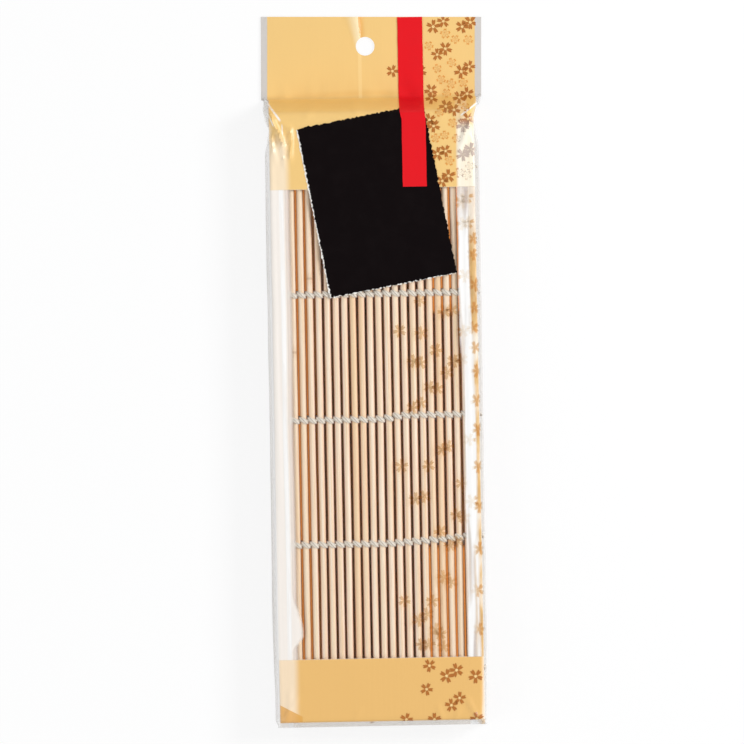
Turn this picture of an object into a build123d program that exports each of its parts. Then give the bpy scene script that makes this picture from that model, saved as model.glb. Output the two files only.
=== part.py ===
"""Bamboo rolling mat, folded in three and packed in a printed film bag that hangs on a hook.

Millimetres. The pack lies on its back: X runs across the slats, Y along them towards the
hanging end, Z up from the table. The mat folds in a zigzag: the lower panel runs to the right
fold, the middle panel back to the left fold, and the upper panel to its free edge on the right.
"""

from build123d import *
from math import cos, hypot, radians, sin, sqrt
import os

os.makedirs("parts", exist_ok=True)

# Slats
slat_diameter = 2.70
slat_length = 240.0
slat_end_chamfer = 0.35
panel_slats = 22
upper_panel_extra_slats = 1

# Cord: two strands a row, which cross between every two slats
cord_diameter = 0.60
cord_play = 0.055
strand_offset = 0.90
cord_rows = 5
cord_row_inset = 20.0
knot_radius = 0.90
knot_overhang = 0.10
knot_slat_gap = 0.04
joint_clearance = 0.05

# Folds
fold_hinges = 3
half_turn = 180.0

# Film bag
film_thickness = 0.20
seam_width = 1.60
seam_thickness = 0.15
seam_shift = -4.70
film_clearance = 0.30
film_side_gap = 2.10
film_end_gap = 1.10
foot_run = 2.50
shoulder_run = 8.20
film_corner_radius = 2.00
header_width = 88.4
header_length = 31.05
header_turn = 1.10
header_skew = 0.30
hang_hole_diameter = 7.50
hang_hole_shift = -2.25
hang_hole_from_top = 11.27
mat_shift = -0.3
mat_drop = 18.8

# Label and red band
label_width = 51.7
label_length = 69.4
label_turn = 10.3
label_shift = 1.10
label_from_shoulder = 34.05
label_rim = 0.70
backing_thickness = 0.10
face_thickness = 0.10
band_width = 10.0
band_thickness = 0.10
band_shift = 16.0
band_reach = 28.0
band_header_inset = 1.40
band_shoulder_gap = 0.20

# Worked out
cord_radius = cord_diameter / 2
slat_radius = slat_diameter / 2
pitch = slat_diameter + cord_diameter + 2 * cord_play
half_pitch = pitch / 2
turn_radius = hypot(half_pitch, strand_offset)
upper_slats = panel_slats + upper_panel_extra_slats
fold_turn = half_turn / fold_hinges
spine_slats = fold_hinges - 1
cord_reach = turn_radius + cord_radius
slat_level = film_thickness + seam_thickness + film_clearance + cord_reach
mat_head = slat_length / 2 - mat_drop
mat_foot = mat_head - slat_length
cord_row_spacing = (slat_length - 2 * cord_row_inset) / (cord_rows - 1)
row_lines = [mat_foot + cord_row_inset + cord_row_spacing * row for row in range(cord_rows)]

# Every slat's middle and heading across the mat, from the lower panel's free edge
right_fold = [fold_turn] * fold_hinges
left_fold = [-fold_turn] * fold_hinges
flat_run = [0.0] * (panel_slats - 1)
gap_turns = flat_run + right_fold + flat_run + left_fold + [0.0] * (upper_slats - 1)
walked = [(0.0, slat_level, 0.0)]
walked_hinges = []
for turn in gap_turns:
    x, z, heading = walked[-1]
    x += half_pitch * cos(radians(heading))
    z += half_pitch * sin(radians(heading))
    if turn:
        walked_hinges.append((x, z))
    heading += turn
    x += half_pitch * cos(radians(heading))
    z += half_pitch * sin(radians(heading))
    walked.append((x, z, heading))
walk_left = min(x for x, z, heading in walked) - slat_radius
walk_right = max(x for x, z, heading in walked) + slat_radius
walk_shift = mat_shift - (walk_left + walk_right) / 2
places = [(x + walk_shift, z, heading) for x, z, heading in walked]
hinges = [(x + walk_shift, z) for x, z in walked_hinges]
stack_width = walk_right - walk_left
top_level = places[-1][1] + cord_reach

# Groups of slats that stay flat together, each with its first slat and their number
right_fold_first = panel_slats
middle_first = right_fold_first + spine_slats
left_fold_first = middle_first + panel_slats
upper_first = left_fold_first + spine_slats
panels = {
    "lower": (0, panel_slats),
    "middle": (middle_first, panel_slats),
    "upper": (upper_first, upper_slats),
}
spines = {}
for step in range(spine_slats):
    spines[f"right_fold_{step + 1}"] = (right_fold_first + step, 1)
    spines[f"left_fold_{step + 1}"] = (left_fold_first + step, 1)
groups = panels | spines


def across(place, along, up, y):
    """A point given along a slat group's heading, up from it and at y."""
    x, z, heading = place
    turn = radians(heading)
    return Vector(
        x + along * cos(turn) - up * sin(turn), y, z + along * sin(turn) + up * cos(turn)
    )


# Slats
for name, (first, count) in groups.items():
    with BuildPart() as slats:
        with BuildSketch(Plane.XZ.offset(-mat_head)):
            with Locations([(x, z) for x, z, heading in places[first : first + count]]):
                Circle(slat_radius)
        extrude(amount=slat_length)
        chamfer(slats.edges().filter_by(GeomType.CIRCLE), length=slat_end_chamfer)
    slats.part.label = f"{name}_slats" if count > 1 else f"{name}_slat"
    export_step(slats.part, f"parts/{slats.part.label}.step")

# Cord strands: on each slat one strand passes over and the other under, and they change
# over in the gap, so every pass over a slat slants the same way
free_ends = {0: (places[0], -1), len(places) - 1: (places[-1], 1)}
knot_length = 2 * (strand_offset + cord_radius + knot_overhang)
knot_inset = slat_radius + knot_slat_gap + knot_radius


def knot_middle(end, row_line):
    """The middle of the knot beyond a free edge's slat."""
    place, side = free_ends[end]
    return across(place, side * knot_inset, 0, row_line)


def fold_trim(side, turn):
    """The angle by which a pass stops short of a fold, to stay clear of the plane halfway."""
    if not turn:
        return 0
    lean = radians(turn / 2)
    for angle in range(int(half_turn)):
        a = radians(angle)
        reach = side * turn_radius * sin(a) * sin(lean) - half_pitch * (1 - cos(a)) * cos(lean)
        rate = side * turn_radius * cos(a) * sin(lean) - half_pitch * sin(a) * cos(lean)
        if reach + cord_radius * sqrt(1 - (rate / turn_radius) ** 2) <= -joint_clearance:
            return angle


def knot_trim():
    """The angle by which the passes at a free edge stop short, to end against the knot."""
    for angle in range(int(half_turn)):
        a = radians(angle)
        reach = hypot(knot_inset - half_pitch * cos(a), turn_radius * sin(a))
        if reach - cord_radius >= knot_radius + joint_clearance:
            return angle


def cord_pass(index, strand, row_line):
    """A strand's half turn over or under one slat, cut short beside a fold or a knot."""
    side = 1 if (index + strand) % 2 == 0 else -1
    last = len(gap_turns)
    begin = fold_trim(side, gap_turns[index - 1]) if index > 0 else knot_trim()
    end = half_turn - (fold_trim(side, gap_turns[index]) if index < last else knot_trim())
    points = []
    for angle in (begin, (begin + end) / 2, end):
        along = -half_pitch * cos(radians(angle))
        up = side * turn_radius * sin(radians(angle))
        y = row_line + side * strand_offset * cos(radians(angle))
        points.append(across(places[index], along, up, y))
    return ThreePointArc(*points)


def add_strands(first, count, row_line):
    """Sweeps both strands of a row over a group of slats."""
    for strand in range(2):
        with BuildLine() as route:
            passes = [cord_pass(index, strand, row_line) for index in range(first, first + count)]
        with BuildSketch(Plane(origin=passes[0] @ 0, z_dir=passes[0] % 0)) as section:
            Circle(cord_radius)
        sweep(section.sketch, path=route.wires()[0])


for name, (first, count) in panels.items():
    for row, row_line in enumerate(row_lines):
        with BuildPart() as cord:
            add_strands(first, count, row_line)
        cord.part.label = f"{name}_cord_{row + 1}"
        export_step(cord.part, f"parts/{cord.part.label}.step")

for name, (first, count) in spines.items():
    with BuildPart() as fold_cords:
        for row_line in row_lines:
            add_strands(first, count, row_line)
    fold_cords.part.label = f"{name}_cords"
    export_step(fold_cords.part, f"parts/{fold_cords.part.label}.step")

# Knots that tie off each row at the mat's two free edges
for name, end in (("lower", 0), ("upper", len(places) - 1)):
    with BuildPart() as knots:
        for row_line in row_lines:
            with Locations(Location(knot_middle(end, row_line), (90, 0, 0))):
                Cylinder(knot_radius, knot_length)
    knots.part.label = f"{name}_knots"
    export_step(knots.part, f"parts/{knots.part.label}.step")

# The bag's body, worked out from the mat inside it
body_width = stack_width + 2 * (film_side_gap + film_thickness)
front_head = mat_head + film_end_gap
front_foot = mat_foot - film_end_gap
body_head = front_head + shoulder_run
body_foot = front_foot - foot_run
front_level = top_level + film_clearance
front_top = front_level + film_thickness
body_length = body_head - body_foot
body_middle = (body_head + body_foot) / 2
front_length = front_head - front_foot
front_middle = (front_head + front_foot) / 2

with BuildPart() as back_film:
    with BuildSketch():
        with Locations((mat_shift, body_middle)):
            Rectangle(body_width, body_length)
    extrude(amount=film_thickness)
back_film.part.label = "back_film"
export_step(back_film.part, "parts/back_film.step")

with BuildPart() as back_seam:
    with BuildSketch(Plane.XY.offset(film_thickness)):
        with Locations((seam_shift, body_middle)):
            Rectangle(seam_width, body_length - 2 * film_end_gap)
    extrude(amount=seam_thickness)
back_seam.part.label = "back_seam"
export_step(back_seam.part, "parts/back_seam.step")

with BuildPart() as front_film:
    with BuildSketch(Plane.XY.offset(film_thickness)):
        with Locations((mat_shift, body_middle)):
            Rectangle(body_width, body_length)
    with BuildSketch(Plane.XY.offset(front_top)):
        with Locations((mat_shift, front_middle)):
            Rectangle(body_width, front_length)
    loft(ruled=True)
    front_edges = front_film.faces().sort_by(Axis.Z)[-1].edges()
    fillet(front_edges, radius=film_corner_radius)
    offset(amount=-film_thickness, openings=front_film.faces().sort_by(Axis.Z)[0])
front_film.part.label = "front_film"
export_step(front_film.part, "parts/front_film.step")

# The header: front and back film welded together above the mat, pulled a little askew
header_thickness = 2 * film_thickness
header_half = header_width / 2
header_top_left = body_head + header_length + header_half * sin(radians(header_turn))
header_top_right = body_head + header_length - header_half * sin(radians(header_turn))
hang_hole_height = body_head + header_length - hang_hole_from_top

with BuildPart() as header:
    with BuildSketch():
        with BuildLine():
            Polyline(
                (-header_half - header_skew, body_head),
                (header_half - header_skew, body_head),
                (header_half + header_skew, header_top_right),
                (-header_half + header_skew, header_top_left),
                close=True,
            )
        make_face()
    extrude(amount=header_thickness)
    with Locations((hang_hole_shift, hang_hole_height, header_thickness)):
        Hole(hang_hole_diameter / 2)
header.part.label = "header"
export_step(header.part, "parts/header.step")

# The label on the front, a white backing that shows as a rim and a dark face
label_height = front_head - label_from_shoulder
label_place = Location((label_shift, label_height), label_turn)
label_limit = front_head - film_corner_radius

with BuildPart() as label_backing:
    with BuildSketch(Plane.XY.offset(front_top)):
        with Locations(label_place):
            Rectangle(label_width, label_length)
        with Locations((label_shift, label_limit)):
            Rectangle(
                2 * label_length, label_length, align=(Align.CENTER, Align.MIN), mode=Mode.SUBTRACT
            )
    extrude(amount=backing_thickness)
label_backing.part.label = "label_backing"
export_step(label_backing.part, "parts/label_backing.step")

with BuildPart() as label_face:
    with BuildSketch(Plane.XY.offset(front_top + backing_thickness)):
        with Locations(label_place):
            Rectangle(label_width - 2 * label_rim, label_length - 2 * label_rim)
        with Locations((label_shift, label_limit)):
            Rectangle(
                2 * label_length, label_length, align=(Align.CENTER, Align.MIN), mode=Mode.SUBTRACT
            )
    extrude(amount=face_thickness)
label_face.part.label = "label_face"
export_step(label_face.part, "parts/label_face.step")

# The red band, from the header down the shoulder and over the label
band_level = front_top + backing_thickness + face_thickness
band_head = body_head + header_length - band_header_inset
band_foot = front_head - band_reach
shoulder_foot = body_head + band_shoulder_gap
shoulder_head = front_head + band_shoulder_gap

with BuildPart() as red_band:
    with BuildSketch(Plane.YZ.offset(band_shift - band_width / 2)):
        with BuildLine():
            Polyline(
                (band_head, header_thickness),
                (shoulder_foot, header_thickness),
                (shoulder_head, band_level),
                (band_foot, band_level),
                (band_foot, band_level + band_thickness),
                (shoulder_head + band_thickness, band_level + band_thickness),
                (shoulder_foot + band_thickness, header_thickness + band_thickness),
                (band_head, header_thickness + band_thickness),
                close=True,
            )
        make_face()
    extrude(amount=band_width)
red_band.part.label = "red_band"
export_step(red_band.part, "parts/red_band.step")

print("pitch", pitch, "turn radius", turn_radius, "slats", len(places))
print("slat rows", [round(z, 3) for x, z, heading in (places[0], places[middle_first], places[-1])])
print("hinges", [(round(x, 4), round(z, 4)) for x, z in hinges])
print("top", front_top, "body", body_width, body_foot, body_head, "header top", header_top_left)
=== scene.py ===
"""Looks for a bamboo rolling mat, folded in three inside its printed film bag.

Every size is in millimetres until a mesh is made. X runs across the slats, Y along them towards
the hanging end of the bag, Z up from the table.
"""

import random
from functools import reduce
from math import cos, exp, hypot, pi, radians, sin, sqrt, tau

import bpy
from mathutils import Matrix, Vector, noise


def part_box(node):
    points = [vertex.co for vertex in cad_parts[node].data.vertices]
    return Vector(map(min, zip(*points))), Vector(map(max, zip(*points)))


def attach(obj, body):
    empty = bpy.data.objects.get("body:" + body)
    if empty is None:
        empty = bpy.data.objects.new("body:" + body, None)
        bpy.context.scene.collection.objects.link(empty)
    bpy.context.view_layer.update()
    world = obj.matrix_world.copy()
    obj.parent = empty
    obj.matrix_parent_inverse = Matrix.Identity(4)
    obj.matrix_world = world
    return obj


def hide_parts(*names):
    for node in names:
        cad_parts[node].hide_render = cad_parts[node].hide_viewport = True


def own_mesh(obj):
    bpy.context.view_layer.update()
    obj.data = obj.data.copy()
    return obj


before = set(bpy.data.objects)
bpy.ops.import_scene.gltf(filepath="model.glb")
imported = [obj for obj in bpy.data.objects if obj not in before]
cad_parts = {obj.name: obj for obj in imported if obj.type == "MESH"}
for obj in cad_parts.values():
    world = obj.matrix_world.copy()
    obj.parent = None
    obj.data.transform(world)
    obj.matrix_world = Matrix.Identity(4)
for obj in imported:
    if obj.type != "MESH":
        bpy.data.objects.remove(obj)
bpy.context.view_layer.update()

# A millimetre in metres, and a metre in millimetres
MM = 0.001
METRE = 1000.0
scene = bpy.context.scene

# The mat
SLAT_RADIUS = 1.35
SLAT_LENGTH = 240.0
PITCH = 3.41
PANEL_SLATS = 22
UPPER_SLATS = 23
FOLD_TURN = 60.0
FIRST_LEVEL = 2.878
MAT_MIDDLE_X = -0.3
MAT_MIDDLE_Y = -18.8
CORD_SPACING = 50.0
CORD_ROWS = tuple(MAT_MIDDLE_Y + CORD_SPACING * step for step in range(-2, 3))
CORD_CROSSING = 0.90
KNOT_REACH = 2.29
# The stems' node marks fall over this length at random, so only some slats show one
MARK_SPREAD = 1500.0

# The bag
LEFT_EDGE = (
    (-142.4, -42.2), (-139.0, -43.2), (-100.0, -43.8), (-20.0, -43.4), (70.0, -43.4), (87.0, -43.2),
    (92.4, -42.3), (97.2, -41.6), (101.0, -43.1), (105.5, -43.8), (108.4, -43.5), (110.5, -44.4),
)
RIGHT_EDGE = (
    (-142.4, 41.5), (-100.0, 42.1), (70.0, 42.5), (90.0, 42.5), (95.6, 41.5), (101.0, 40.6),
    (104.0, 41.3), (107.4, 43.4), (110.5, 43.95),
)
BAG_FOOT, BAG_HEAD = -142.4, 110.5
FRONT_HEAD = 102.3
SHEET_LEVEL = 0.32
FRONT_LEVEL = 17.32
SIDE_RUN, FOOT_RUN = 2.3, 3.2
FILM_WIDTH, FILM_THICKNESS = 85.0, 0.08
HEADER = ((-44.4, 109.4), (43.9, 109.4), (44.5, 141.2), (-43.9, 142.9))
HEADER_LEVEL, HEADER_LIFT, HEADER_THICKNESS = 0.42, 0.06, 0.30
HOLE_X, HOLE_Y, HOLE_RADIUS = -2.25, 130.28, 3.75
SEAM_X = -4.7

# A flat pleat from the hanging hole to the head of the bag, whose sides part as it climbs
PLEAT_FOOT, PLEAT_LENGTH, PLEAT_HEIGHT = 127.5, 14.3, 0.9
PLEAT_LEFT, PLEAT_LEFT_SPREAD = -6.1, 4.5
PLEAT_RIGHT, PLEAT_RIGHT_SPREAD = -4.3, 0.7

# Print: where the yellow ends above and below the window, and at the sides. Near the shoulder its
# right edge leans out.
PRINT_HEAD_FOOT = 73.0
PRINT_FOOT_HEAD = -114.9
PRINT_FOOT = -140.1
PRINT_LEFT, PRINT_RIGHT = -41.4, 40.6
LEAN, LEAN_FOOT, LEAN_HEAD = 1.2, 98.0, 108.0
GOLD_STRIP_LEFT = 37.7
BLOSSOM_LIFT, HEADER_BLOSSOM_LIFT, INK_THICKNESS = 0.12, 0.14, 0.03
BLOSSOM_RADIUS, OUTLINE_RADIUS, OUTLINE_WIDTH = 2.8, 2.0, 0.4
EYE_RING = 0.26

# Label and red band
LABEL_X, LABEL_Y, LABEL_TURN = 1.1, 67.95, 10.3
LABEL_WIDTH, LABEL_LENGTH, LABEL_RIM = 51.7, 69.2, 0.5
LABEL_STEP, LABEL_THICKNESS = 0.42, 0.08
BAND_X, BAND_WIDTH, BAND_HEAD, BAND_FOOT = 15.8, 10.0, 141.7, 73.4
BAND_LIFT, BAND_THICKNESS = 0.34, 0.08


def colour(red, green, blue):
    """A screen colour, 0 to 255, as the linear colour that a shader takes."""
    linear = []
    for part in (red, green, blue):
        part /= 255
        linear.append(part / 12.92 if part <= 0.04045 else ((part + 0.055) / 1.055) ** 2.4)
    return (*linear, 1.0)


class Wire:
    """A value in a node tree, on which arithmetic adds Math nodes."""

    def __init__(self, nodes, socket):
        self.nodes = nodes
        self.socket = socket

    def maths(self, operation, first, second=0.0):
        return self.nodes.add("ShaderNodeMath", {"operation": operation}, {0: first, 1: second})

    def __add__(self, other):
        return self.maths("ADD", self, other)

    def __sub__(self, other):
        return self.maths("SUBTRACT", self, other)

    def __rsub__(self, other):
        return self.maths("SUBTRACT", other, self)

    def __mul__(self, other):
        return self.maths("MULTIPLY", self, other)

    def __abs__(self):
        return self.maths("ABSOLUTE", self)

    def larger(self, other):
        return self.maths("MAXIMUM", self, other)

    def smaller(self, other):
        return self.maths("MINIMUM", self, other)

    def rise(self, low, high):
        """0 below low, 1 above high and smooth between them; falls where low is the higher."""
        settings = {"interpolation_type": "SMOOTHSTEP"}
        return self.nodes.add("ShaderNodeMapRange", settings, {0: self, 1: low, 2: high})

    def between(self, low, low_full, high_full, high):
        """1 from low_full to high_full, fading to 0 at low and at high."""
        return self.rise(low, low_full) * self.rise(high, high_full)

    __radd__ = __add__


def largest(*wires):
    return reduce(Wire.larger, wires)


class Nodes:
    """Builds a node tree, for a finish or for geometry."""

    def __init__(self, tree):
        self.tree = tree

    def add(self, kind, settings=None, inputs=None, output=0):
        """Adds a node, sets it and its sockets, and gives one of its outputs."""
        node = self.tree.nodes.new(kind)
        for key, value in (settings or {}).items():
            setattr(node, key, value)
        for key, value in (inputs or {}).items():
            if isinstance(value, Wire):
                self.tree.links.new(value.socket, node.inputs[key])
            else:
                node.inputs[key].default_value = value
        return Wire(self, node.outputs[output])

    def vector(self, operation, first, second):
        """Vector arithmetic, where SCALE takes a number as its second value."""
        second_key = "Scale" if operation == "SCALE" else 1
        inputs = {0: first, second_key: second}
        return self.add("ShaderNodeVectorMath", {"operation": operation}, inputs)

    def mix(self, share, first, second):
        """Mixes two shaders by a share from 0 to 1."""
        return self.add("ShaderNodeMixShader", None, {0: share, 1: first, 2: second})


class Finish(Nodes):
    """A material and the node chains that several finishes share."""

    def __init__(self, name):
        self.material = bpy.data.materials.new(name)
        self.material.use_nodes = True
        super().__init__(self.material.node_tree)
        self.tree.nodes.clear()
        self.place = self.add("ShaderNodeTexCoord", output="Object")
        split = self.tree.nodes.new("ShaderNodeSeparateXYZ")
        self.tree.links.new(self.place.socket, split.inputs[0])
        self.x = Wire(self, split.outputs[0]) * METRE
        self.y = Wire(self, split.outputs[1]) * METRE

    def attribute(self, name):
        return self.add("ShaderNodeAttribute", {"attribute_name": name}, output="Fac")

    def stretched(self, across, along, shift=None):
        """Object coordinates scaled per millimetre across and along the slats."""
        scale = (across * METRE, along * METRE, across * METRE)
        scaled = self.vector("MULTIPLY", self.place, scale)
        return scaled if shift is None else self.vector("ADD", scaled, shift)

    def speckle(self, vector, detail=3.0, roughness=0.55):
        inputs = {"Vector": vector, "Scale": 1.0, "Detail": detail, "Roughness": roughness}
        return self.add("ShaderNodeTexNoise", None, inputs, "Fac")

    def blend(self, share, first, second):
        """Mixes two colours by a share from 0 to 1."""
        inputs = {0: share, 6: first, 7: second}
        return self.add("ShaderNodeMix", {"data_type": "RGBA"}, inputs, 2)

    def bump(self, height, strength, depth):
        inputs = {"Height": height, "Strength": strength, "Distance": depth * MM}
        return self.add("ShaderNodeBump", None, inputs)

    def surface(self, **inputs):
        """A Principled surface; names are the socket names with _ for each space."""
        sockets = {key.replace("_", " "): value for key, value in inputs.items()}
        return self.add("ShaderNodeBsdfPrincipled", None, sockets)

    def see_through(self, tint):
        return self.add("ShaderNodeBsdfTransparent", None, {"Color": tint})

    def show(self, shader):
        output = self.tree.nodes.new("ShaderNodeOutputMaterial")
        self.tree.links.new(shader.socket, output.inputs["Surface"])
        return self.material


# Finishes
def bamboo_finish():
    finish = Finish("bamboo")
    tone = finish.attribute("tone")
    mark = finish.attribute("mark")
    flank = finish.attribute("flank")
    tip = finish.attribute("tip")
    own_place = {0: tone * 37.0, 1: mark * 53.0, 2: tone * 11.0}
    shift = finish.add("ShaderNodeCombineXYZ", None, own_place)
    streak = finish.speckle(finish.stretched(1.1, 0.012, shift))
    fibre = finish.speckle(finish.stretched(4.5, 0.05, shift), 4.0, 0.65)
    cloud = finish.speckle(finish.stretched(0.25, 0.02, shift), 2.0)
    body = finish.blend(streak.rise(0.35, 0.68), colour(254, 238, 219), colour(245, 214, 180))
    body = finish.blend((tone - 0.55).rise(0.0, 0.45) * 0.7, body, colour(242, 204, 158))
    body = finish.blend(cloud.rise(0.45, 0.75) * 0.4, body, colour(248, 228, 188))
    body = finish.blend(fibre.rise(0.5, 0.68) * 0.36, body, colour(222, 172, 124))
    knot = abs(finish.y - mark * MARK_SPREAD)
    body = finish.blend((1 - knot.rise(0.15, 0.75)) * 0.35, body, colour(150, 100, 58))
    body = finish.blend((1 - knot.rise(0.6, 4.0)) * 0.25, body, colour(206, 160, 108))
    # Painted shade: the slats' sides are darkened red-brown where they turn down into the gaps
    body = finish.blend(flank.rise(0.72, 0.98) * 0.95, body, colour(168, 74, 22))
    body = finish.blend(tip * 0.6, body, colour(222, 190, 146))
    height = fibre * 0.6 + streak * 0.4 + knot.rise(0.8, 0.2) * 0.8
    shader = finish.surface(
        Base_Color=body,
        Roughness=0.42 + fibre * 0.25,
        Specular_IOR_Level=0.4,
        Normal=finish.bump(height, 0.5, 0.06),
    )
    return finish.show(shader)


def cotton_finish():
    finish = Finish("cotton")
    ply = finish.attribute("ply")
    fuzz = finish.speckle(finish.stretched(9.0, 9.0), 4.0, 0.7)
    soil = finish.speckle(finish.stretched(0.5, 0.5), 2.0)
    # Painted shade: the grooves between the plies are darkened and the ply tops lightened
    body = finish.blend(ply.rise(0.1, 0.7), colour(146, 132, 118), colour(240, 233, 223))
    body = finish.blend(soil.rise(0.4, 0.8) * 0.35, body, colour(214, 202, 184))
    body = finish.blend(fuzz.rise(0.5, 0.75) * 0.3, body, colour(250, 247, 240))
    shader = finish.surface(
        Base_Color=body,
        Roughness=0.9,
        Sheen_Weight=0.25,
        Specular_IOR_Level=0.2,
        Normal=finish.bump(fuzz, 0.6, 0.08),
    )
    return finish.show(shader)


YELLOW = colour(241, 200, 125)
SHADED_YELLOW = colour(234, 186, 106)
BAND_YELLOW = colour(235, 187, 111)
GLARE = colour(252, 248, 240)
WHITE_GLARE = colour(255, 254, 252)
RIM_GREY = colour(216, 211, 206)
FILM_TINT = (0.98, 0.975, 0.965, 1.0)
BACK_RIM_TINT = (0.97, 0.965, 0.955, 1.0)
BACK_LIGHT_TINT = (0.96, 0.57, 0.25, 1.0)
CLEAR_TINT = (1.0, 1.0, 1.0, 1.0)
STAIN_TINT = (0.97, 0.91, 0.82, 1.0)


def film_bump(finish):
    """Faint stretch lines and crumples of thin film."""
    crumple = finish.speckle(finish.stretched(0.10, 0.10), 3.0, 0.5)
    lines = finish.speckle(finish.stretched(0.8, 0.02), 2.0, 0.5)
    return finish.bump(crumple * 0.8 + lines * 0.2, 0.35, 0.5)


def layered(finish, ink, body, gloss):
    """Film that is clear and glossy where ink is 0 and shows the body colour where it is 1, print
    and painted glare alike.
    """
    normal = film_bump(finish)
    sheen = finish.add("ShaderNodeBsdfGlossy", None, {"Roughness": 0.12, "Normal": normal})
    window = finish.mix(gloss, finish.see_through(FILM_TINT), sheen)
    printed = finish.surface(
        Base_Color=body, Roughness=0.32, Specular_IOR_Level=0.5, Normal=normal
    )
    return finish.mix(ink, window, printed)


# Glints along the shoulder's sharpest creases: x, y to x, y and half width
GLINTS = (
    (34.8, 101.0, 43.2, 107.4, 0.5),
    (36.0, 99.0, 40.6, 101.2, 0.3),
    (-43.4, 110.2, -36.4, 100.1, 0.6),
    (-36.2, 99.8, -35.9, 94.5, 0.4),
    (-41.9, 104.4, -39.4, 98.0, 0.35),
)
GLINT_END = 1.5


def glints(x, y):
    """1 along the glints and 0 beside them."""
    shares = []
    for x0, y0, x1, y1, half_width in GLINTS:
        length = hypot(x1 - x0, y1 - y0)
        run_x, run_y = (x1 - x0) / length, (y1 - y0) / length
        along = (x - x0) * run_x + (y - y0) * run_y
        across = abs((x - x0) * run_y - (y - y0) * run_x)
        ends = along.between(0.0, GLINT_END, length - GLINT_END, length)
        shares.append(across.rise(half_width, half_width * 0.3) * ends)
    return largest(*shares)


def leaned(x, y):
    """x, less the lean of the print's right edge near the shoulder."""
    return x - y.rise(LEAN_FOOT, LEAN_HEAD) * LEAN


def yellow_print(finish, at, above, below, body_end, glare_streaks):
    """The front's yellow: deepened below the shoulder as painted shade, paled at both sides as
    painted glare, darker on the folded corner at the foot's left.
    """
    x, y = finish.x, finish.y
    shade = finish.blend(below, YELLOW, BAND_YELLOW)
    # Painted shade: the yellow is deepened below the shoulder
    shade = finish.blend(y.rise(101.0, 106.0) * 0.6, shade, colour(250, 200, 112))
    # Painted glare: the yellow is paled at the left and at the right side
    shade = finish.blend(at.rise(-32.4, -36.0) * body_end * 0.6, shade, colour(255, 244, 226))
    pale = at.rise(32.9, 34.2) * y.rise(101.0, 95.0) * above
    shade = finish.blend(pale * (0.7 + glare_streaks.rise(0.3, 0.6) * 0.2), shade, colour(255, 248, 228))
    corner = (-132.5 - (x + 41.75) * 0.537 - y).rise(0.0, 0.3) * x.rise(-32.2, -32.6)
    return finish.blend(corner * 0.85, shade, colour(226, 166, 74))


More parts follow.
